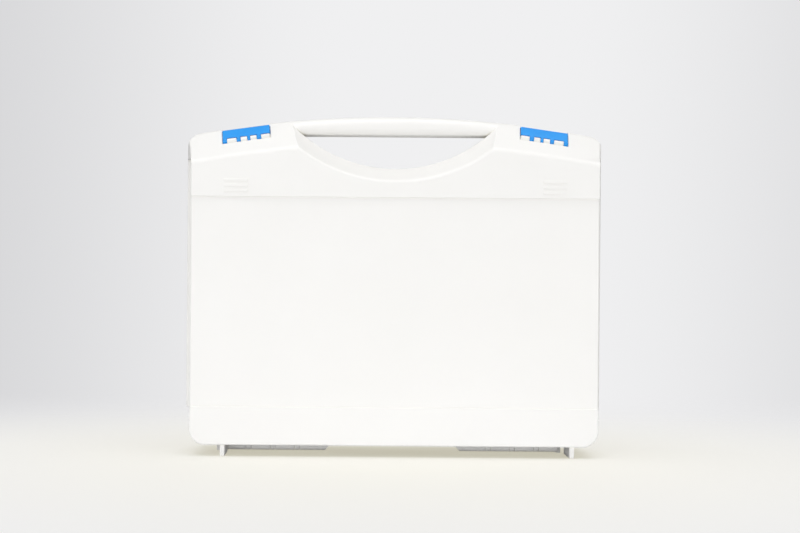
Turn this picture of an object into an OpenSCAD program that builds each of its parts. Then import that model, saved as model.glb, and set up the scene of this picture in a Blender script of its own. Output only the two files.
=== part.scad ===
// Otoscope carry case: two moulded half shells hinged along the bottom, with a carry handle
// moulded into their tops, two snap latches and foam inside.
// x runs across the case, y from the front (-) to the back (+) with the parting line at 0,
// and z up from the feet. Each shell is drawn as the front one, and the back one is its mirror image.

/* [Case] */
// Width over the rims at the parting line
rim_w = 349; // [330:1:370]
// How far the rims stand out of the body at each side
rim_lip = 6; // [3:0.5:8]
// Height from the feet to the top of the handle
case_h = 283.2; // [276:0.2:292]
// Depth of one shell, from the parting line to its face
shell_d = 41.5; // [38:0.5:50]
// Wall of the moulded shells
wall = 2.2; // [1.8:0.1:2.8]
// Depth of one shell's rim flange, along y
rim_d = 5; // [3:0.5:8]
// Height above the feet where the rim flanges end
rim_z0 = 37.5; // [30:0.5:60]
// Gap between the two shells along the parting line
part_gap = 0.2; // [0.1:0.05:0.4]
// Radius of the arch that the top of the case follows
arch_r = 900; // [700:10:1200]
// Radius of the rim's top corners
rim_corner_r = 14.5; // [10:0.5:18]
// Radius of the body's top corners
body_corner_r = 10; // [6:0.5:14]
// Radius of the bottom corners
foot_corner_r = 13; // [8:0.5:18]

/* [Face] */
// Height of the recessed panel's lower edge above the feet
panel_z0 = 40.9; // [30:0.1:60]
// Distance from the top of the handle down to the recessed panel's upper edge
panel_top = 69.1; // [64:0.1:84]
// Depth of the recessed panel
panel_d = 1.5; // [0.8:0.1:2]
// Width of the three marking ribs at each side of the upper band
mark_w = 19.5; // [12:0.5:26]
// Height of one marking rib
mark_h = 2.1; // [1.5:0.1:3]
// Spacing of the marking ribs
mark_pitch = 4.45; // [4:0.05:4.8]
// How far the marking ribs stand out of the band
mark_d = 0.5; // [0.3:0.1:0.8]
// Distance of the marking ribs' middle from the body's side
mark_side = 37.2; // [25:0.1:60]
// Height of the middle marking rib above the panel's upper edge
mark_up = 9.1; // [7:0.1:14]

/* [Shoulder and handle] */
// How far the shoulder falls from the top of the handle to the face, along the arch's radius
shoulder = 25; // [22:0.5:28]
// Half the depth of the handle
handle_d = 16; // [14:0.5:18]
// Height above the feet from which the shoulder reaches out to the rims at its sides
flank_z0 = 246; // [240:0.5:252]
// Rounding of the handle's upper edges
handle_round = 8; // [6:0.5:9]
// Rounding of the handle's lower edges
under_round = 6; // [4:0.5:7]
// Rounding between the shoulder and the face
face_round = 7; // [5:0.5:8]
// Height of the handle bar in its middle
handle_h = 15.7; // [13:0.1:20]
// Radius of the finger opening's lower edge
grip_r = 120.4; // [110:0.2:150]
// Height of the finger opening in its middle
grip_h = 28.3; // [24:0.1:30]
// How much lower the face starts than the finger opening
grip_lip = 11.4; // [8:0.2:13]
// Rounding where the finger opening starts to fall towards the face
lip_start_r = 12; // [8:1:16]
// Rounding between the finger opening's slope and the face
lip_round = 4; // [3:0.5:5]
// Wall between the inside of the case and the hollow of the shoulder
divider = 2.2; // [1.6:0.1:3]
// Number of cross ribs in each half of the handle
handle_ribs = 5; // [3:1:7]
// Thickness of a cross rib
rib_t = 1.6; // [1.2:0.1:2.4]

/* [Feet and hinges] */
// Height of the shells' bottom above the feet
foot_h = 9.5; // [9:0.1:12]
// Thickness of a foot fin
fin_t = 3.9; // [3:0.1:4.4]
// Length of a foot fin along y
fin_len = 34.4; // [26:0.1:36]
// Distance of each pair of fins' middle from the outer end of its hinge
fin_off = 4.1; // [3.6:0.1:6]
// How far a shell's fins are set off to its own right, so that both shells' fins pass each other
fin_shift = 2.9; // [2.3:0.1:4]
// Distance of the fins from the parting line
fin_start = 3.6; // [3.6:0.1:6]
// Height of the hinge axis above the feet
hinge_z = 4.4; // [4:0.1:4.6]
// Radius of the hinge barrels
barrel_r = 3.1; // [2.8:0.1:3.6]
// Radius of the hinge pins
hinge_pin_r = 1.25; // [1:0.05:1.4]
// Radial running clearance of every pin in its bores
pin_fit = 0.05; // [0.02:0.01:0.08]
// Distance from the body's side to each hinge's outer end
hinge_side = 28.5; // [27:0.1:38]
// Length of each hinge
hinge_len = 89.6; // [84:0.1:100]
// Distance from a hinge's inner end to the first back-shell knuckle's middle
knuckle_first = 30.4; // [24:0.1:34]
// Spacing of the back-shell knuckles
knuckle_pitch = 20.4; // [16:0.1:24]
// Width of a back-shell knuckle
knuckle_w = 4; // [3:0.1:5]
// Side gap between neighbouring knuckles
knuckle_gap = 0.25; // [0.15:0.05:0.4]
// Length of the ramp at each hinge's inner end
ramp_len = 6.8; // [4:0.1:10]

/* [Rim tongue] */
// How far the back shell's tongue reaches into the front shell
tongue_h = 3; // [2:0.5:4]
// Thickness of the tongue
tongue_t = 1.2; // [1:0.1:1.6]
// Clearance of the tongue inside the front shell's wall
tongue_gap = 0.3; // [0.2:0.05:0.5]

/* [Latches] */
// Distance of each latch's middle from the body's side
latch_side = 43.2; // [40:0.1:58]
// Width of a latch
latch_w = 40; // [39:0.1:44]
// Thickness of a latch
latch_t = 2.4; // [2:0.1:2.8]
// How far the latch's top lies below the top of the shells
latch_drop = 1.6; // [1:0.1:2.4]
// Depth of the latch's hinge axis from the parting line
latch_axis_d = 24; // [22:0.2:26]
// Depth of the latch's front upper edge from the parting line
latch_edge_d = 14.6; // [13:0.2:16]
// Height of the latch's sloping front limb
latch_front_h = 9; // [8:0.1:10]
// Depth of the latch's rear upper edge from the parting line
latch_rear_d = 14.6; // [13:0.2:16]
// Height of the latch's rear limb
latch_rear_h = 9; // [8:0.1:10]
// How far the latch's nose bites under the back shell's ridge
latch_bite = 0.5; // [0.3:0.1:0.7]
// Clearance between a latch and the shells
latch_gap = 0.4; // [0.3:0.05:0.6]
// Radius of the latch's knuckles
latch_barrel_r = 2.2; // [2:0.1:2.5]
// Radius of a latch pin
latch_pin_r = 0.8; // [0.6:0.05:1]
// Widths of the knuckles from the latch's inner end: the shell's and the latch's in turn
latch_knuckles = [7, 4, 5.1, 2.8, 5.3, 3.6, 7.8, 3.8];

/* [Foam] */
// Clearance of the foam from the shells
foam_gap = 0.4; // [0.3:0.1:1]
// Thickness of the plain foam sheet in the bottom of the back shell
foam_floor_t = 10; // [6:0.5:14]
// How far the cut foam stays below the parting line
foam_low = 1; // [0.5:0.5:4]
// Thickness of the lid's foam
lid_foam_t = 27; // [18:0.5:30]
// Length of the pocket for the instrument
tool_len = 190; // [160:1:210]
// Width of the instrument pocket at its handle
tool_w = 34; // [28:1:44]
// Diameter of the instrument pocket at its head
head_d = 62; // [50:1:70]
// Height of the instrument pocket's axis above the feet
tool_z = 74; // [62:1:84]
// Depth of the instrument pocket
tool_depth = 22; // [16:1:23]
// Width of the pocket for the ear tips
tips_w = 96; // [70:1:110]
// Height of the pocket for the ear tips
tips_h = 64; // [50:1:70]
// Height of the ear tip pocket's middle above the feet
tips_z = 160; // [150:1:166]
// Distance of the ear tip pocket's middle from the middle of the case
tips_x = -78; // [-90:1:-70]
// Diameter of the round pockets for spare bulbs
bulb_d = 24; // [16:1:28]
// Distance of the first bulb pocket from the middle of the case
bulb_x = 30; // [20:1:36]
// Spacing of the bulb pockets
bulb_pitch = 40; // [34:1:46]
// Number of bulb pockets
bulb_n = 3; // [1:1:3]
// Corner radius of the foam pockets
pocket_r = 8; // [4:1:12]

/* [Hidden] */
$fn = 48;
arch_fn = 720;
over = 1;
// widths and places that follow from the overall width and height
body_w = rim_w - 2 * rim_lip;
panel_z1 = case_h - panel_top;
mark_x = body_w / 2 - mark_side;
latch_x = body_w / 2 - latch_side;
hinge_x1 = body_w / 2 - hinge_side;
hinge_x0 = hinge_x1 - hinge_len;
knuckle_x = hinge_x0 + knuckle_first;
fin_x = hinge_x1 + fin_off;
// centre of the arch, and of the finger opening's lower edge
arch_z = case_h - arch_r;
under_z = case_h - handle_h;
grip_z = under_z - grip_h + grip_r;
// middle of the handle's upper rounding, in radius and depth
handle_c = [arch_r - handle_round, handle_d - handle_round];
// the shoulder's slope is tangent to that rounding and points at the face's upper edge
slope_run = shell_d - handle_c[1];
slope_fall = shoulder - handle_round;
slope_a = atan(slope_fall / slope_run) + asin(handle_round / norm([slope_run, slope_fall]));
// the slope from the finger opening to the face, and the middles of the roundings at its ends
lip_a = atan(grip_lip / (shell_d - handle_d));
lip_start_c = [grip_r + lip_start_r, handle_d - lip_start_r * tan(lip_a / 2)];
lip_end_c = [grip_r + grip_lip + lip_round * (1 - sin(lip_a)) / cos(lip_a), shell_d - lip_round];
// cuts run this far past a face that they only touch, so that both meet in one clean line
skim = 0.01;
face_r = arch_r - shoulder;
half_gap = part_gap / 2;
face_in = shell_d - panel_d - wall;
cavity_r = face_r - wall - divider;
cavity_half = body_w / 2 - wall;
grip_keep = grip_r + grip_lip + wall;
// hinges
last_knuckle = 2;
// latches: v is measured outward from the top of the arch
latch_a = asin(latch_x / (arch_r - latch_drop));
limb_slope = latch_front_h / limb_run();
limb_drop = latch_t * sqrt(1 + limb_slope * limb_slope);
plate_v = -latch_drop - latch_t;
inner_edge_d = latch_edge_d - (limb_drop - latch_t) / limb_slope;
axis_v = -latch_drop - (latch_axis_d + 0.6 * latch_barrel_r - latch_edge_d) * limb_slope
    - 0.9 * latch_t + 0.3;
floor_v = plate_v - latch_gap;
pocket_end_d = latch_axis_d + latch_barrel_r + 1.2;
ridge_d = latch_rear_d - latch_t + 0.7;
ridge_drop = 2.6;
nose_v = floor_v - ridge_drop;
tail_v = -latch_drop - latch_rear_h;
pocket_half = latch_w / 2 + latch_gap;

// Run of the latch's front limb along y
function limb_run() = latch_axis_d + 0.9 * latch_barrel_r - latch_edge_d;
// Radius of the shoulder's slope at a given depth, drawn in by a wall
function slope_r(depth, inset) =
    handle_c[0] + (handle_round - inset - sin(slope_a) * (depth - handle_c[1])) / cos(slope_a);
// Points of an arc about a middle, in n steps from one angle to another
function arc_points(middle, r, from, to, n) = [
    for (i = [0 : n])
        middle + r * [cos(from + (to - from) * i / n), sin(from + (to - from) * i / n)]
];
// Sum of the first n knuckle widths
function knuckle_sum(n) = n <= 0 ? 0 : latch_knuckles[n - 1] + knuckle_sum(n - 1);
// Start of latch knuckle n along the latch, counted from its inner end
function knuckle_u(n) = latch_w / 2 - knuckle_sum(len(latch_knuckles)) + knuckle_sum(n);

// A flat outline in x and z, extruded from y0 to y1
module slab(y0, y1) {
    translate([0, y1, 0])
        rotate([90, 0, 0])
            linear_extrude(height = y1 - y0)
                children();
}

// A profile of radius and depth, turned about the arch's centre line; depth runs to the front
module arch_turn() {
    translate([0, 0, arch_z])
        rotate([90, 0, 0])
            rotate_extrude($fn = arch_fn)
                children();
}

// Outline of the case: straight sides and bottom, an arched top and rounded corners
module case_outline(half, top_r, corner, bottom, foot_r) {
    cx = half - corner;
    cz = arch_z + sqrt(pow(top_r - corner, 2) - cx * cx);
    tilt = asin(cx / (top_r - corner));
    reach = 2 * corner;
    difference() {
        intersection() {
            translate([0, arch_z])
                circle(r = top_r, $fn = arch_fn);
            translate([-half, bottom])
                square([2 * half, case_h]);
        }
        for (side = [0, 1]) {
            mirror([side, 0]) {
                difference() {
                    polygon([
                        [cx, cz],
                        [cx + reach, cz],
                        [cx + reach, cz + reach],
                        [cx + reach * sin(tilt), cz + reach * cos(tilt)],
                    ]);
                    translate([cx, cz])
                        circle(r = corner);
                }
                difference() {
                    translate([half - foot_r, bottom - over])
                        square([foot_r + over, foot_r + over]);
                    translate([half - foot_r, bottom + foot_r])
                        circle(r = foot_r);
                }
            }
        }
    }
}

// Outline of the inside of the case, drawn in by a given amount
module inside_outline(inset) {
    difference() {
        case_outline(
            cavity_half - inset, cavity_r - inset, body_corner_r,
            foot_h + wall + inset, foot_corner_r - wall
        );
        translate([0, grip_z])
            circle(r = grip_keep + inset, $fn = 240);
    }
}

// All that the finger opening takes, with its slope to the face, grown by a given wall
module grip_cut(grow) {
    translate([0, 0, grip_z])
        rotate([90, 0, 0])
            rotate_extrude($fn = 360)
                polygon(concat(
                    [[0, -over], [grip_r + grow, -over]],
                    arc_points(lip_start_c, lip_start_r - grow, 180, 180 - lip_a, 4),
                    arc_points(lip_end_c + [0, skim], lip_round - grow, 180 - lip_a, 90, 6),
                    [[lip_end_c[0], shell_d + over], [0, shell_d + over]]
                ));
}

// The handle bar, drawn in by a given wall; its upper side runs out past the shoulder's own
module handle_bar(inset) {
    edge = arc_points(handle_c, handle_round - inset, slope_a, 90, 7);
    out = edge[0] + 6 * (edge[0] - edge[1]);
    low_c = [handle_d + skim - under_round, under_z + under_round];
    intersection() {
        arch_turn()
            polygon(concat(
                [[arch_r - 3 * handle_h, -2 * over], [out[0], -2 * over], out],
                edge,
                [[arch_r - 3 * handle_h, handle_d - inset]]
            ));
        translate([grip_r, 0, 0])
            rotate([90, 0, -90])
                linear_extrude(height = 2 * grip_r)
                    polygon(concat(
                        [[-2 * over, under_z + inset]],
                        arc_points(low_c, under_round - inset, -90, 0, 6),
                        [[shell_d, under_z + under_round], [shell_d, 2 * case_h], [-2 * over, 2 * case_h]]
                    ));
    }
}

// The rim flange, and the shoulder's sides, which run out from the face's width to the rim's
module rim_and_flanks() {
    run = (shell_d - wall - rim_d) / rim_lip;
    near = [rim_w / 2 + over, -rim_d + over * run];
    far = [body_w / 2 - over, -shell_d + wall - over * run];
    intersection() {
        slab(-shell_d + over, -half_gap)
            case_outline(rim_w / 2, arch_r, rim_corner_r, foot_h, foot_corner_r);
        union() {
            translate([-rim_w, -rim_d, rim_z0])
                cube([2 * rim_w, rim_d + over, case_h]);
            translate([0, 0, flank_z0])
                linear_extrude(height = case_h)
                    polygon([near, far, [-far[0], far[1]], [-near[0], near[1]]]);
        }
    }
}

// Solid outside shape of the front shell
module shell_block() {
    difference() {
        intersection() {
            union() {
                slab(-shell_d - over, -half_gap)
                    case_outline(body_w / 2, arch_r, body_corner_r, foot_h, foot_corner_r);
                rim_and_flanks();
            }
            arch_turn()
                polygon(concat(
                    [[0, -over], [arch_r, -over]],
                    arc_points(handle_c, handle_round, 0, slope_a, 6),
                    arc_points([slope_r(shell_d - face_round, face_round), shell_d - face_round],
                        face_round, slope_a, 90, 7),
                    [[0, shell_d]]
                ));
        }
        difference() {
            grip_cut(0);
            handle_bar(0);
        }
        slab(-shell_d - over, -shell_d + panel_d)
            translate([-rim_w, panel_z0])
                square([2 * rim_w, panel_z1 - panel_z0]);
    }
}

// Hollow inside the shoulders and the handle, open at the parting line
module shoulder_hollow() {
    ring_r = cavity_r + divider;
    difference() {
        intersection() {
            slab(-shell_d, over)
                case_outline(
                    cavity_half, arch_r - wall, body_corner_r - wall, panel_z1, wall
                );
            arch_turn()
                polygon(concat(
                    [[ring_r, -2 * over], [arch_r - wall, -2 * over]],
                    arc_points(handle_c, handle_round - wall, 0, slope_a, 6),
                    [[slope_r(face_in, wall), face_in], [ring_r, face_in]]
                ));
        }
        difference() {
            grip_cut(wall);
            handle_bar(wall);
        }
        for (i = [1 : handle_ribs])
            translate([(i - (handle_ribs + 1) / 2) * 2 * grip_h - rib_t / 2, -handle_d, under_z - over])
                cube([rib_t, handle_d, case_h - under_z]);
    }
}

// The front shell's own space: what is cut away inside
module shell_inside() {
    slab(-face_in, over)
        inside_outline(0);
    shoulder_hollow();
}

// Places children at a latch, with z outward from the top of the arch and x along it
module at_latch(side) {
    mirror([side < 0 ? 1 : 0, 0, 0])
        translate([0, 0, arch_z])
            rotate([0, latch_a, 0])
                translate([0, 0, arch_r])
                    children();
}

// A profile of depth and height, extruded along the latch from u0 to u1
module along_latch(u0, u1) {
    translate([u0, 0, 0])
        rotate([90, 0, 90])
            linear_extrude(height = u1 - u0)
                children();
}

// A cylinder along the latch's hinge axis
module latch_rod(u0, u1, r) {
    translate([u0, -latch_axis_d, axis_v])
        rotate([0, 90, 0])
            cylinder(h = u1 - u0, r = r);
}

// Recess for the latch in the front shell, grown by a given wall
module front_pocket(grow) {
    deep = (pocket_end_d - inner_edge_d) * limb_slope;
    along_latch(-pocket_half - grow, pocket_half + grow)
        polygon([
            [-pocket_end_d - grow, floor_v - deep - grow],
            [-inner_edge_d, floor_v - grow],
            [over, floor_v - grow],
            [over, latch_w],
            [-pocket_end_d - grow, latch_w],
        ]);
}

// Recess for the latch in the back shell, with the ridge that its nose bites under
module back_pocket(grow) {
    bay = latch_rear_h + ridge_drop;
    along_latch(-pocket_half - grow, pocket_half + grow)
        polygon([
            [-over, floor_v - grow],
            [ridge_d - grow, floor_v - grow],
            [ridge_d - grow, nose_v],
            [ridge_d - 2 * latch_bite - grow, nose_v - 2 * latch_bite],
            [ridge_d - 2 * latch_bite - grow, -bay - latch_drop - grow],
            [shell_d, -bay - latch_drop - grow],
            [shell_d, latch_w],
            [-over, latch_w],
        ]);
}

// A hinge barrel at the bottom, with the arm that joins it to its shell; toward is -1 or 1
module hinge_knuckle(x0, x1, toward) {
    translate([x0, 0, hinge_z])
        rotate([0, 90, 0])
            cylinder(h = x1 - x0, r = barrel_r);
    translate([x0, toward < 0 ? -barrel_r : half_gap, hinge_z])
        cube([x1 - x0, barrel_r - half_gap, foot_h + wall / 2 - hinge_z]);
}

// The bore through a row of hinge knuckles
module hinge_bore(x0, x1) {
    translate([x0 - over, 0, hinge_z])
        rotate([0, 90, 0])
            cylinder(h = x1 - x0 + 2 * over, r = hinge_pin_r + pin_fit);
}

// Places of the back shell's knuckles, counted from the middle of the case
function knuckle_mid(i) = knuckle_x + i * knuckle_pitch;

// The front shell's knuckles of one hinge, with a ramp at the inner end
module lid_knuckles() {
    gap = knuckle_w / 2 + knuckle_gap;
    difference() {
        union() {
            hinge_knuckle(hinge_x0, knuckle_mid(0) - gap, -1);
            for (i = [0 : last_knuckle - 1])
                hinge_knuckle(knuckle_mid(i) + gap, knuckle_mid(i + 1) - gap, -1);
            hinge_knuckle(knuckle_mid(last_knuckle) + gap, hinge_x1, -1);
        }
        translate([hinge_x0, 0, foot_h - 0.3])
            rotate([0, atan((foot_h - hinge_z + barrel_r) / ramp_len), 0])
                translate([-4 * barrel_r, -2 * barrel_r, -6 * barrel_r])
                    cube([4 * barrel_r + 6 * barrel_r, 4 * barrel_r, 6 * barrel_r]);
        hinge_bore(hinge_x0, hinge_x1);
    }
}

// The back shell's knuckles of one hinge
module base_knuckles() {
    for (i = [0 : last_knuckle])
        difference() {
            hinge_knuckle(knuckle_mid(i) - knuckle_w / 2, knuckle_mid(i) + knuckle_w / 2, 1);
            hinge_bore(hinge_x0, hinge_x1);
        }
}

// The two foot fins under the front shell, set off sideways by a given amount
module foot_fins(shift) {
    for (side = [-1, 1])
        translate([side * fin_x + shift - fin_t / 2, -fin_len - fin_start, 0])
            cube([fin_t, fin_len, foot_h + wall / 2]);
}

// The three marking ribs of one side
module marks() {
    for (i = [-1 : 1])
        translate([mark_x - mark_w / 2, -shell_d - mark_d, panel_z1 + mark_up + i * mark_pitch - mark_h / 2])
            cube([mark_w, mark_d + wall / 2, mark_h]);
}

// The shell's knuckles and their blocks at one latch
module latch_seat() {
    for (n = [0 : 2 : len(latch_knuckles) - 2]) {
        latch_rod(knuckle_u(n), knuckle_u(n + 1), latch_barrel_r);
        along_latch(knuckle_u(n), knuckle_u(n + 1))
            polygon([
                [-latch_axis_d - latch_barrel_r, axis_v],
                [-latch_axis_d + latch_barrel_r, axis_v],
                [-latch_axis_d + latch_barrel_r, axis_v - latch_barrel_r - wall],
                [-latch_axis_d - latch_barrel_r, axis_v - latch_barrel_r - wall],
            ]);
    }
}

module lid_shell() {
    color("white")
        difference() {
            union() {
                difference() {
                    shell_block();
                    difference() {
                        shell_inside();
                        for (side = [-1, 1])
                            at_latch(side)
                                front_pocket(wall);
                    }
                    for (side = [-1, 1])
                        at_latch(side)
                            front_pocket(0);
                }
                for (side = [-1, 1])
                    at_latch(side)
                        latch_seat();
                for (side = [0, 1])
                    mirror([side, 0, 0]) {
                        lid_knuckles();
                        marks();
                    }
                foot_fins(fin_shift);
            }
            for (side = [-1, 1])
                at_latch(side) {
                    latch_rod(-pocket_half, pocket_half, latch_pin_r + pin_fit);
                    for (n = [1 : 2 : len(latch_knuckles) - 1])
                        latch_rod(knuckle_u(n), knuckle_u(n + 1), latch_barrel_r + latch_gap);
                }
        }
}

module base_shell() {
    color("whitesmoke") {
        difference() {
            union() {
                mirror([0, 1, 0])
                    difference() {
                        shell_block();
                        difference() {
                            shell_inside();
                            for (side = [-1, 1])
                                mirror([0, 1, 0])
                                    at_latch(side)
                                        back_pocket(wall);
                        }
                    }
                slab(-tongue_h, half_gap + wall)
                    difference() {
                        inside_outline(tongue_gap);
                        inside_outline(tongue_gap + tongue_t);
                    }
                slab(half_gap, half_gap + wall)
                    difference() {
                        inside_outline(-wall / 2);
                        inside_outline(tongue_gap + tongue_t);
                    }
            }
            for (side = [-1, 1])
                at_latch(side)
                    back_pocket(0);
        }
        for (side = [0, 1])
            mirror([side, 0, 0])
                base_knuckles();
        mirror([0, 1, 0])
            foot_fins(-fin_shift);
    }
}

// A hinge pin of the case
module hinge_pin() {
    start = hinge_x0 + ramp_len;
    color("silver")
        translate([start, 0, hinge_z])
            rotate([0, 90, 0])
                cylinder(h = hinge_x1 - start, r = hinge_pin_r);
}

module hinge_pin_left() {
    mirror([1, 0, 0])
        hinge_pin();
}

module hinge_pin_right() {
    hinge_pin();
}

// A latch in its closed place at the right-hand side
module latch() {
    run = limb_run();
    nose_d = ridge_d - latch_bite;
    back_d = ridge_d + 0.5;
    last = len(latch_knuckles) - 1;
    color("dodgerblue")
        difference() {
            union() {
                difference() {
                    along_latch(-latch_w / 2, latch_w / 2)
                        polygon([
                            [-latch_edge_d - run, -latch_drop - latch_front_h],
                            [-latch_edge_d, -latch_drop],
                            [latch_rear_d, -latch_drop],
                            [latch_rear_d + 0.3 * latch_rear_h, tail_v],
                            [nose_d + 1.4, tail_v],
                            [nose_d, tail_v + 1.4],
                            [nose_d, nose_v - latch_bite - latch_gap - 0.1],
                            [back_d, nose_v - latch_bite - latch_gap - 0.1 + back_d - nose_d],
                            [back_d, plate_v],
                            [-inner_edge_d, plate_v],
                            [-latch_axis_d, axis_v],
                        ]);
                    for (n = [0 : 2 : last - 1])
                        latch_rod(
                            n == 0 ? -latch_w : knuckle_u(n) - knuckle_gap,
                            knuckle_u(n + 1) + knuckle_gap,
                            latch_barrel_r + latch_gap
                        );
                }
                for (n = [1 : 2 : last])
                    latch_rod(
                        knuckle_u(n) + knuckle_gap,
                        knuckle_u(n + 1) - (n == last ? 0 : knuckle_gap),
                        latch_barrel_r
                    );
            }
            latch_rod(-latch_w, latch_w, latch_pin_r + pin_fit);
        }
}

module latch_left() {
    at_latch(-1)
        latch();
}

module latch_right() {
    at_latch(1)
        latch();
}

// A latch pin, from the first knuckle to the last
module latch_pin() {
    color("silver")
        latch_rod(knuckle_u(0), latch_w / 2, latch_pin_r);
}

module latch_pin_left() {
    at_latch(-1)
        latch_pin();
}

module latch_pin_right() {
    at_latch(1)
        latch_pin();
}

// Outline of the foam, drawn in from the shells' walls
module foam_outline(inset) {
    inside_outline(foam_gap + inset);
}

module base_foam_floor() {
    color("dimgray")
        slab(face_in - foam_gap - foam_floor_t, face_in - foam_gap)
            foam_outline(0);
}

// A rectangle with round corners about a middle
module round_rect(x, z, w, h, r) {
    translate([x - w / 2 + r, z - h / 2])
        square([w - 2 * r, h]);
    translate([x - w / 2, z - h / 2 + r])
        square([w, h - 2 * r]);
    for (i = [-1, 1], j = [-1, 1])
        translate([x + i * (w / 2 - r), z + j * (h / 2 - r)])
            circle(r = r);
}

// Outlines of the pockets in the cut foam
module pocket_outlines() {
    round_rect(0, tool_z, tool_len, tool_w, pocket_r);
    translate([(tool_len - head_d) / 2, tool_z])
        circle(d = head_d, $fn = 96);
    round_rect(tips_x, tips_z, tips_w, tips_h, pocket_r);
    for (i = [0 : bulb_n - 1])
        translate([bulb_x + i * bulb_pitch, tips_z])
            circle(d = bulb_d);
}

module base_foam_insert() {
    seat = face_in - foam_gap - foam_floor_t;
    front = half_gap + foam_low;
    color("gray")
        difference() {
            slab(front, seat)
                foam_outline(tongue_gap + tongue_t);
            slab(front - over, front + tool_depth)
                pocket_outlines();
        }
}

module lid_foam() {
    color("gray")
        slab(-face_in + foam_gap, -face_in + foam_gap + lid_foam_t)
            foam_outline(0);
}

base_shell();
lid_shell();
hinge_pin_left();
hinge_pin_right();
latch_left();
latch_right();
latch_pin_left();
latch_pin_right();
base_foam_floor();
base_foam_insert();
lid_foam();
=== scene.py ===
import math

import bmesh
import bpy
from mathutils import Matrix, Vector, noise


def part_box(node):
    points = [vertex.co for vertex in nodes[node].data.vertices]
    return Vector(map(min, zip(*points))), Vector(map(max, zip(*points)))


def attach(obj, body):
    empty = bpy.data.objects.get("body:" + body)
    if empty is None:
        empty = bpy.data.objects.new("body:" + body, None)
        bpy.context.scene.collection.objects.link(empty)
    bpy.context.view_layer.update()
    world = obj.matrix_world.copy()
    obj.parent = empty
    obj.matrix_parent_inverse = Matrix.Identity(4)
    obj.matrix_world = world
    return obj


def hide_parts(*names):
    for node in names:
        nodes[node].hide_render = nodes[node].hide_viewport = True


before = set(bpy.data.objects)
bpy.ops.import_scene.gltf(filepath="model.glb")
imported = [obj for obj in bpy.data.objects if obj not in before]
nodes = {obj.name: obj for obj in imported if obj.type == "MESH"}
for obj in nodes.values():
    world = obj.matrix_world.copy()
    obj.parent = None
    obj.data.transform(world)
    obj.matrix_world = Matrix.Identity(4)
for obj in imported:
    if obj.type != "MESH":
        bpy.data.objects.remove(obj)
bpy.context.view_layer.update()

MM = 0.001

# ---------------------------------------------------------------- sizes read from the frame
base_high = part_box("base_shell")[1]
lid_foam_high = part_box("lid_foam")[1]
insert_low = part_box("base_foam_insert")[0]

# The case's own measures, in metres. Side is the distance from the middle across the case, and depth the
# distance from the parting plane between the two shells.
HALF_DEPTH = base_high.y
BODY_HALF = base_high.x - 6 * MM
SHELL_BOTTOM = 9.5 * MM
MID_HEIGHT = base_high.z / 2
PANEL_DEPTH = 1.5 * MM
RIM_DEPTH = 5 * MM
TONGUE_DEPTH = 3 * MM
FLANK_BOTTOM = 246 * MM
HANDLE_END_SIDES = (74 * MM, 97 * MM)
MARK_SIDES = (119 * MM, 144 * MM)
MARK_HEIGHTS = (212 * MM, 230 * MM)

# Roundings of the mouldings' edges and of the cut foam
SHELL_ROUNDING = 1.4 * MM
RIM_ROUNDING = 1.0 * MM
LATCH_ROUNDING = 1.0 * MM
FOAM_ROUNDING = 1.5 * MM
KNUCKLE_ROUNDING = 0.35 * MM
SMALL_ROUNDING = 0.3 * MM
MARK_ROUNDING = 0.2 * MM
PANEL_ROUNDING = 0.5 * MM


# ---------------------------------------------------------------- meshes
def near(value, target, slack=0.02 * MM):
    """True where a length is the target's, within the tessellation's slack."""
    return abs(value - target) < slack


def solid_of(node, weld=0.05 * MM, flat=math.radians(0.05)):
    """A bmesh of a node's own solid, welded, with each flat face in one piece."""
    bm = bmesh.new()
    bm.from_mesh(nodes[node].data)
    bmesh.ops.remove_doubles(bm, verts=bm.verts, dist=weld)
    bmesh.ops.dissolve_limit(bm, angle_limit=flat, verts=bm.verts, edges=bm.edges)
    crowded = [
        face for face in bm.faces
        if len(face.verts) > 4 and abs(face.calc_center_median().y) <= HALF_DEPTH - 2 * PANEL_DEPTH
    ]
    bmesh.ops.triangulate(bm, faces=crowded)
    return bm


def cut_grid(bm, pitch):
    """Cuts a foam solid across x and z in squares of a pitch, so that its faces can be shaped."""
    for axis in (0, 2):
        places = [vert.co[axis] for vert in bm.verts]
        low, high = min(places), max(places)
        across = Vector((axis == 0, 0.0, axis == 2))
        for i in range(1, int((high - low) / pitch)):
            parts = bm.verts[:] + bm.edges[:] + bm.faces[:]
            cut = across * (low + i * pitch)
            bmesh.ops.bisect_plane(bm, geom=parts, dist=1e-6, plane_co=cut, plane_no=across)


def egg_crate(bm, top, deep, pitch):
    """Sinks the face at y = top in waves, as foam that was cut between profiled rollers."""
    for vert in bm.verts:
        if near(vert.co.y, top):
            wave = math.cos(math.tau * vert.co.x / pitch) * math.cos(math.tau * vert.co.z / pitch)
            slack = 0.6 * MM * noise.noise(vert.co / (40 * MM))
            vert.co.y -= deep * (0.5 - 0.5 * wave) + abs(slack)


def uneven(bm, place, inward, most):
    """Lets the foam face at y = place sink by a small, slowly changing amount, as soft foam does."""
    for vert in bm.verts:
        if near(vert.co.y, place):
            vert.co.y += inward * most * abs(noise.noise(vert.co / (55 * MM)))


def new_piece(bm, name, node, body, material):
    """Turns a bmesh into a named piece that stands for its node and rides on its body."""
    mesh = bpy.data.meshes.new(name)
    bm.to_mesh(mesh)
    bm.free()
    mesh.polygons.foreach_set("use_smooth", [True] * len(mesh.polygons))
    piece = bpy.data.objects.new(name, mesh)
    bpy.context.scene.collection.objects.link(piece)
    mesh.materials.append(material)
    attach(piece, body)
    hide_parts(node)
    return piece


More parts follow.
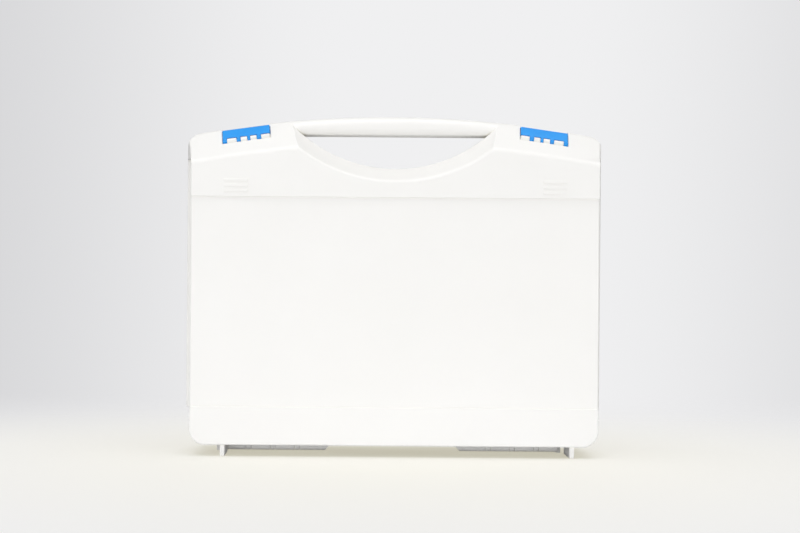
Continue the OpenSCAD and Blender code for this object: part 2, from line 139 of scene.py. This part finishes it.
def round_edges(bm, radius_of, largest, sharp=math.radians(20)):
    """Gives each sharp edge the rounding that radius_of says, as a share of the largest."""
    layers = bm.edges.layers.float
    weight = layers.get("bevel_weight_edge") or layers.new("bevel_weight_edge")
    for edge in bm.edges:
        if edge.is_manifold and edge.calc_face_angle() > sharp:
            edge[weight] = min(1.0, radius_of(edge) / largest)
            edge.smooth = edge[weight] > 0


def add_rounding(piece, largest, segments=3):
    """Rounds the weighted edges of a piece, and shades its broad faces flat."""
    bevel = piece.modifiers.new("moulded_edges", "BEVEL")
    bevel.width = largest
    bevel.segments = segments
    bevel.limit_method = "WEIGHT"
    bevel.use_clamp_overlap = False
    normals = piece.modifiers.new("broad_faces", "WEIGHTED_NORMAL")
    normals.weight = 60
    normals.keep_sharp = True


def fade(value, start, end):
    """1 before start, 0 after end, and a straight fall in between."""
    return min(1.0, max(0.0, (end - value) / (end - start)))


def between(value, limits):
    """True where a value lies between a low and a high limit."""
    return limits[0] < value < limits[1]


def outline_edge_radius(edge, mid, depth, side):
    """Rounding of an edge of the case's outer walls, or None for any other edge."""
    for face in edge.link_faces:
        outward = face.normal.x * mid.x + face.normal.z * (mid.z - MID_HEIGHT)
        if abs(face.normal.y) < 0.2 and outward > 0.02 and edge.is_convex:
            if near(depth, RIM_DEPTH, 0.3 * MM) and side > BODY_HALF - 20 * MM:
                return RIM_ROUNDING * fade(mid.z, 245 * MM, 260 * MM)
            if side > BODY_HALF - 12 * MM or mid.z < SHELL_BOTTOM + MM:
                # the rounding runs out before the flank begins, and is small where the walls meet bluntly
                below_flank = side > BODY_HALF - MM and depth > 30 * MM
                runs_out = fade(mid.z, 238 * MM, 243 * MM) if below_flank else 1.0
                blunt = fade(math.radians(60) - edge.calc_face_angle(), 0.0, math.radians(45))
                return SHELL_ROUNDING * runs_out * blunt
    return None


def flank_edge_radius(edge, mid, depth):
    """Rounding of an edge of the shoulder's flanks, whose lower edges and edges by the rim stay sharp."""
    rounded = depth > 12 * MM and mid.z > FLANK_BOTTOM + MM and edge.is_convex
    return SHELL_ROUNDING if rounded else 0.0


def shell_edge_radius(edge):
    """Rounding of one edge of a half shell, by where the edge lies and what meets there."""
    a, b = (vert.co for vert in edge.verts)
    mid = (a + b) / 2
    depth, side = abs(mid.y), abs(mid.x)
    level = near(a.z, b.z) and not near(a.x, b.x)
    on_tongue = near(a.y, -TONGUE_DEPTH) and near(b.y, -TONGUE_DEPTH)
    handle_end = between(side, HANDLE_END_SIDES) and depth < 22 * MM and mid.z > 262 * MM
    if mid.z < SHELL_BOTTOM - 0.1 * MM:
        return KNUCKLE_ROUNDING
    if on_tongue or handle_end:
        return 0.0
    if side > BODY_HALF - 5 * MM and mid.z > FLANK_BOTTOM - 3 * MM and depth > RIM_DEPTH + 0.5 * MM:
        return flank_edge_radius(edge, mid, depth)
    if between(side, MARK_SIDES) and between(mid.z, MARK_HEIGHTS) and depth > HALF_DEPTH - 0.1 * MM:
        return MARK_ROUNDING
    on_panel = side < BODY_HALF and depth > HALF_DEPTH - 2 * PANEL_DEPTH
    if level and on_panel and between(mid.z, (30 * MM, 220 * MM)):
        return PANEL_ROUNDING
    outline = outline_edge_radius(edge, mid, depth, side)
    return SMALL_ROUNDING if outline is None else outline


def latch_edge_radius(edge):
    """Rounding of one edge of a latch: full on its outer corners, small inside and round its bore."""
    return LATCH_ROUNDING if edge.is_convex and edge.calc_length() > 3 * MM else 0.2 * MM


# ---------------------------------------------------------------- materials
def colour(code):
    """An sRGB hex colour as a linear RGBA tuple."""
    parts = [int(code[i:i + 2], 16) / 255 for i in (1, 3, 5)]
    linear = [p / 12.92 if p <= 0.04045 else ((p + 0.055) / 1.055) ** 2.4 for p in parts]
    return (*linear, 1.0)


def add_node(tree, kind, settings=None, links=None):
    """Adds a node, sets its properties and sockets, and links its inputs from other nodes' outputs."""
    made = tree.nodes.new(kind)
    for name, value in (settings or {}).items():
        if isinstance(name, int) or name in made.inputs:
            made.inputs[name].default_value = value
        else:
            setattr(made, name, value)
    for name, source in (links or {}).items():
        tree.links.new(source, made.inputs[name])
    return made


def blank_material(name):
    """An empty node material and its tree."""
    material = bpy.data.materials.new(name)
    material.use_nodes = True
    material.node_tree.nodes.clear()
    return material, material.node_tree


def white_polypropylene():
    """White polypropylene, injection moulded: satin, faintly grained, with painted shade, a warmer grey, in
    its creases.
    """
    material, tree = blank_material("white_polypropylene_moulded")
    place = add_node(tree, "ShaderNodeTexCoord").outputs["Object"]
    tone = add_node(tree, "ShaderNodeTexNoise", {"Scale": 1 / (90 * MM), "Detail": 2.0}, {"Vector": place})
    body_tone = add_node(
        tree, "ShaderNodeMix", {"data_type": "RGBA", 6: colour("#F4F3F0"), 7: colour("#F7F6F4")},
        {0: tone.outputs["Fac"]},
    )
    # painted shade: the colour darkens to a warm grey where ambient occlusion finds a crease within 3 mm
    crease = add_node(tree, "ShaderNodeAmbientOcclusion", {"Distance": 3 * MM, "samples": 8})
    painted_crease_shade = add_node(
        tree, "ShaderNodeMapRange", {"From Min": 0.25, "From Max": 0.85},
        {"Value": crease.outputs["AO"]},
    )
    skin_with_painted_shade = add_node(
        tree, "ShaderNodeMix", {"data_type": "RGBA", 6: colour("#EFEDE5")},
        {0: painted_crease_shade.outputs["Result"], 7: body_tone.outputs[2]},
    )
    grain = add_node(tree, "ShaderNodeTexNoise", {"Scale": 1 / (0.8 * MM), "Detail": 1.0}, {"Vector": place})
    bump = add_node(
        tree, "ShaderNodeBump", {"Strength": 0.15, "Distance": 0.05 * MM}, {"Height": grain.outputs["Fac"]},
    )
    gloss = add_node(tree, "ShaderNodeTexNoise", {"Scale": 1 / (25 * MM), "Detail": 3.0}, {"Vector": place})
    satin = add_node(
        tree, "ShaderNodeMapRange", {"To Min": 0.40, "To Max": 0.50}, {"Value": gloss.outputs["Fac"]},
    )
    skin_shader = add_node(
        tree, "ShaderNodeBsdfPrincipled", {"IOR": 1.49},
        {
            "Base Color": skin_with_painted_shade.outputs[2],
            "Roughness": satin.outputs["Result"],
            "Normal": bump.outputs["Normal"],
        },
    )
    add_node(tree, "ShaderNodeOutputMaterial", links={"Surface": skin_shader.outputs["BSDF"]})
    return material


def blue_polypropylene():
    """Blue polypropylene, injection moulded: clear sky blue, smoother and glossier than the shells."""
    material, tree = blank_material("blue_polypropylene_moulded")
    place = add_node(tree, "ShaderNodeTexCoord").outputs["Object"]
    tone = add_node(tree, "ShaderNodeTexNoise", {"Scale": 1 / (12 * MM), "Detail": 2.0}, {"Vector": place})
    body_tone = add_node(
        tree, "ShaderNodeMix", {"data_type": "RGBA", 6: colour("#1494EE"), 7: colour("#28A4FA")},
        {0: tone.outputs["Fac"]},
    )
    grain = add_node(tree, "ShaderNodeTexNoise", {"Scale": 1 / (0.7 * MM), "Detail": 1.0}, {"Vector": place})
    bump = add_node(
        tree, "ShaderNodeBump", {"Strength": 0.12, "Distance": 0.04 * MM}, {"Height": grain.outputs["Fac"]},
    )
    shader = add_node(
        tree, "ShaderNodeBsdfPrincipled", {"IOR": 1.49, "Roughness": 0.32},
        {"Base Color": body_tone.outputs[2], "Normal": bump.outputs["Normal"]},
    )
    add_node(tree, "ShaderNodeOutputMaterial", links={"Surface": shader.outputs["BSDF"]})
    return material


def drawn_steel_wire():
    """Steel wire, drawn: bright, with fine lines along its length."""
    material, tree = blank_material("drawn_steel_wire")
    place = add_node(tree, "ShaderNodeTexCoord").outputs["Object"]
    along = add_node(tree, "ShaderNodeMapping", {"Scale": (0.02, 1.0, 1.0)}, {"Vector": place})
    lines = add_node(
        tree, "ShaderNodeTexNoise", {"Scale": 1 / (0.15 * MM)}, {"Vector": along.outputs["Vector"]},
    )
    rough = add_node(
        tree, "ShaderNodeMapRange", {"To Min": 0.25, "To Max": 0.45}, {"Value": lines.outputs["Fac"]},
    )
    shader = add_node(
        tree, "ShaderNodeBsdfPrincipled", {"Base Color": colour("#C9C9CB"), "Metallic": 1.0},
        {"Roughness": rough.outputs["Result"]},
    )
    add_node(tree, "ShaderNodeOutputMaterial", links={"Surface": shader.outputs["BSDF"]})
    return material


def open_cell_foam():
    """Open cell polyurethane foam, cut with a wire: dark grey, matt, with cells about 1 mm wide and painted
    shade in their hollows.
    """
    material, tree = blank_material("open_cell_polyurethane_foam")
    place = add_node(tree, "ShaderNodeTexCoord").outputs["Object"]
    cells = add_node(
        tree, "ShaderNodeTexVoronoi", {"Scale": 1 / (1.1 * MM), "feature": "F1"}, {"Vector": place},
    )
    tone = add_node(tree, "ShaderNodeTexNoise", {"Scale": 1 / (18 * MM), "Detail": 3.0}, {"Vector": place})
    wall = add_node(
        tree, "ShaderNodeMix", {"data_type": "RGBA", 6: colour("#3C3D40"), 7: colour("#4A4B4F")},
        {0: tone.outputs["Fac"]},
    )
    # painted shade: the colour goes near black where the bump sinks the cells' hollows
    painted_hollow_shade = add_node(
        tree, "ShaderNodeMapRange", {"From Min": 0.15, "From Max": 0.6}, {"Value": cells.outputs["Distance"]},
    )
    cell_tone_with_painted_shade = add_node(
        tree, "ShaderNodeMix", {"data_type": "RGBA", 7: colour("#222326")},
        {0: painted_hollow_shade.outputs["Result"], 6: wall.outputs[2]},
    )
    bump = add_node(
        tree, "ShaderNodeBump", {"Strength": 0.6, "Distance": 0.5 * MM, "invert": True},
        {"Height": cells.outputs["Distance"]},
    )
    shader = add_node(
        tree, "ShaderNodeBsdfPrincipled", {"Roughness": 0.95, "IOR": 1.45},
        {"Base Color": cell_tone_with_painted_shade.outputs[2], "Normal": bump.outputs["Normal"]},
    )
    add_node(tree, "ShaderNodeOutputMaterial", links={"Surface": shader.outputs["BSDF"]})
    return material


SHELL = white_polypropylene()
LATCH = blue_polypropylene()
WIRE = drawn_steel_wire()
FOAM = open_cell_foam()

# ---------------------------------------------------------------- the pieces
for shell, body in (("lid_shell", "lid"), ("base_shell", "base")):
    moulding = solid_of(shell)
    round_edges(moulding, shell_edge_radius, SHELL_ROUNDING)
    piece = new_piece(moulding, shell + "_moulding", shell, body, SHELL)
    add_rounding(piece, SHELL_ROUNDING)

for latch in ("latch_left", "latch_right"):
    lever = solid_of(latch)
    round_edges(lever, latch_edge_radius, LATCH_ROUNDING)
    piece = new_piece(lever, latch + "_lever", latch, latch, LATCH)
    add_rounding(piece, LATCH_ROUNDING)

# the lid's foam is egg-crate sheet, whose waves press on the instruments
waves = solid_of("lid_foam")
cut_grid(waves, 4 * MM)
egg_crate(waves, lid_foam_high.y, deep=13 * MM, pitch=34 * MM)
lid_pad = new_piece(waves, "lid_foam_waves", "lid_foam", "lid", FOAM)

# the cut foam and the sheet under it are flat, with soft edges round the pockets
for foam, place in (("base_foam_insert", insert_low.y), ("base_foam_floor", None)):
    pad = solid_of(foam)
    round_edges(pad, lambda edge: FOAM_ROUNDING, FOAM_ROUNDING)
    if place is not None:
        cut_grid(pad, 8 * MM)
        uneven(pad, place, inward=1.0, most=1.2 * MM)
    piece = new_piece(pad, foam + "_pad", foam, "base", FOAM)
    add_rounding(piece, FOAM_ROUNDING)

for pin in ("hinge_pin_left", "hinge_pin_right", "latch_pin_left", "latch_pin_right"):
    nodes[pin].data.materials.clear()
    nodes[pin].data.materials.append(WIRE)


# ---------------------------------------------------------------- floor, light and camera
FLOOR_RADIUS = 1.4
GLOW_SHARE = 0.64
BACKDROP_MIDDLE = 0.065
LENS_PX = 1581.5
FRAME_PX = 800
SENSOR_MM = 36.0


def paper_floor():
    """White backdrop paper that thins out behind the case; for the camera it glows, with a painted pool of
    warmer light round the case and a painted shadow where the case covers it.
    """
    material, tree = blank_material("backdrop_paper")
    place = add_node(tree, "ShaderNodeTexCoord").outputs["Object"]
    reach = add_node(tree, "ShaderNodeVectorMath", {"operation": "LENGTH"}, {0: place})
    # painted light: the camera's glow is brighter and warmer within about half a metre of the case
    painted_pool_falloff = add_node(
        tree, "ShaderNodeMapRange", {"From Min": 0.12, "From Max": 0.55}, {"Value": reach.outputs["Value"]},
    )
    glow_tone_with_painted_pool = add_node(
        tree, "ShaderNodeMix", {"data_type": "RGBA", 6: colour("#FDFAEE"), 7: colour("#F3F3F4")},
        {0: painted_pool_falloff.outputs["Result"]},
    )
    paper = add_node(tree, "ShaderNodeBsdfDiffuse", {"Color": colour("#F2F2F2")})
    # painted shadow: the glow turns a darker beige where ambient occlusion finds the case over the floor
    covered = add_node(tree, "ShaderNodeAmbientOcclusion", {"Distance": 40 * MM, "samples": 8})
    painted_shadow_mask = add_node(
        tree, "ShaderNodeMapRange", {"From Min": 0.1, "From Max": 0.7}, {"Value": covered.outputs["AO"]},
    )
    tone_with_painted_shadow = add_node(
        tree, "ShaderNodeMix", {"data_type": "RGBA", 6: colour("#E4DFC9")},
        {0: painted_shadow_mask.outputs["Result"], 7: glow_tone_with_painted_pool.outputs[2]},
    )
    glow = add_node(tree, "ShaderNodeEmission", {"Strength": 1.0}, {"Color": tone_with_painted_shadow.outputs[2]})
    seen = add_node(tree, "ShaderNodeLightPath")
    share = add_node(
        tree, "ShaderNodeMath", {"operation": "MULTIPLY", 1: GLOW_SHARE}, {0: seen.outputs["Is Camera Ray"]},
    )
    lit = add_node(
        tree, "ShaderNodeMixShader",
        links={0: share.outputs["Value"], 1: paper.outputs["BSDF"], 2: glow.outputs["Emission"]},
    )
    behind = add_node(tree, "ShaderNodeSeparateXYZ", links={0: place})
    back = add_node(
        tree, "ShaderNodeMapRange",
        {"interpolation_type": "SMOOTHSTEP", "From Min": -0.02, "From Max": 0.62},
        {"Value": behind.outputs["Y"]},
    )
    rim = add_node(
        tree, "ShaderNodeMapRange",
        {"interpolation_type": "SMOOTHSTEP", "From Min": 0.8, "From Max": FLOOR_RADIUS},
        {"Value": reach.outputs["Value"]},
    )
    gone = add_node(
        tree, "ShaderNodeMath", {"operation": "MAXIMUM"},
        {0: back.outputs["Result"], 1: rim.outputs["Result"]},
    )
    clear = add_node(tree, "ShaderNodeBsdfTransparent")
    faded = add_node(
        tree, "ShaderNodeMixShader",
        links={0: gone.outputs["Value"], 1: lit.outputs["Shader"], 2: clear.outputs["BSDF"]},
    )
    add_node(tree, "ShaderNodeOutputMaterial", links={"Surface": faded.outputs["Shader"]})
    bm = bmesh.new()
    bmesh.ops.create_circle(bm, cap_ends=True, segments=96, radius=FLOOR_RADIUS)
    mesh = bpy.data.meshes.new("floor")
    bm.to_mesh(mesh)
    bm.free()
    floor = bpy.data.objects.new("floor", mesh)
    mesh.materials.append(material)
    bpy.context.scene.collection.objects.link(floor)
    return floor


def softbox(name, place, target, size, power):
    """A soft lamp of a width and height that faces a point."""
    lamp = bpy.data.lights.new(name, "AREA")
    lamp.shape = "RECTANGLE"
    lamp.size, lamp.size_y = size
    lamp.energy = power
    holder = bpy.data.objects.new(name, lamp)
    holder.location = place
    holder.visible_camera = False
    holder.rotation_euler = (Vector(target) - Vector(place)).to_track_quat("-Z", "Y").to_euler()
    bpy.context.scene.collection.objects.link(holder)
    return holder


def studio_world(strength, middle, sides):
    """Even light from all round, and a backdrop that is seen a little darker towards its sides."""
    world = bpy.data.worlds.new("studio")
    bpy.context.scene.world = world
    world.use_nodes = True
    tree = world.node_tree
    tree.nodes.clear()
    way = add_node(tree, "ShaderNodeTexCoord").outputs["Generated"]
    across = add_node(tree, "ShaderNodeSeparateXYZ", links={0: way})
    right = add_node(
        tree, "ShaderNodeMath", {"operation": "SUBTRACT", 1: BACKDROP_MIDDLE}, {0: across.outputs["X"]},
    )
    aside = add_node(tree, "ShaderNodeMath", {"operation": "ABSOLUTE"}, {0: right.outputs["Value"]})
    falling = add_node(
        tree, "ShaderNodeMapRange", {"interpolation_type": "SMOOTHSTEP", "From Min": 0.06, "From Max": 0.36},
        {"Value": aside.outputs["Value"]},
    )
    tone = add_node(
        tree, "ShaderNodeMix", {"data_type": "RGBA", 6: colour(middle), 7: colour(sides)},
        {0: falling.outputs["Result"]},
    )
    light = add_node(tree, "ShaderNodeBackground", {"Color": colour("#FFFFFF"), "Strength": strength})
    wall = add_node(tree, "ShaderNodeBackground", {"Strength": 1.0}, {"Color": tone.outputs[2]})
    path = add_node(tree, "ShaderNodeLightPath")
    mixed = add_node(
        tree, "ShaderNodeMixShader",
        links={0: path.outputs["Is Camera Ray"], 1: light.outputs[0], 2: wall.outputs[0]},
    )
    add_node(tree, "ShaderNodeOutputWorld", links={"Surface": mixed.outputs[0]})


paper_floor()
studio_world(0.34, "#F0F0F1", "#D4D4D6")
softbox("high_key", (0.1, -0.55, 2.0), (0.0, 0.0, 0.1), (1.8, 1.6), 23.0)
softbox("low_front", (-0.2, -2.3, 0.19), (0.0, 0.0, 0.05), (2.6, 0.36), 19.5)
softbox("left_fill", (-2.1, -0.2, 0.5), (0.0, 0.0, 0.15), (1.0, 1.0), 5.0)
softbox("back_fill", (0.5, 2.2, 0.9), (0.0, 0.0, 0.15), (1.6, 1.0), 9.0)

camera_data = bpy.data.cameras.new("camera")
camera = bpy.data.objects.new("camera", camera_data)
bpy.context.scene.collection.objects.link(camera)
bpy.context.scene.camera = camera
camera_data.sensor_width = SENSOR_MM
camera_data.lens = SENSOR_MM * LENS_PX / FRAME_PX
camera_data.shift_x = 0.06425
camera.location = (-0.0381, -1.3415, 0.157)
camera.rotation_euler = (math.radians(90), math.radians(-0.45), 0.0)

bpy.context.scene.view_settings.view_transform = "Standard"
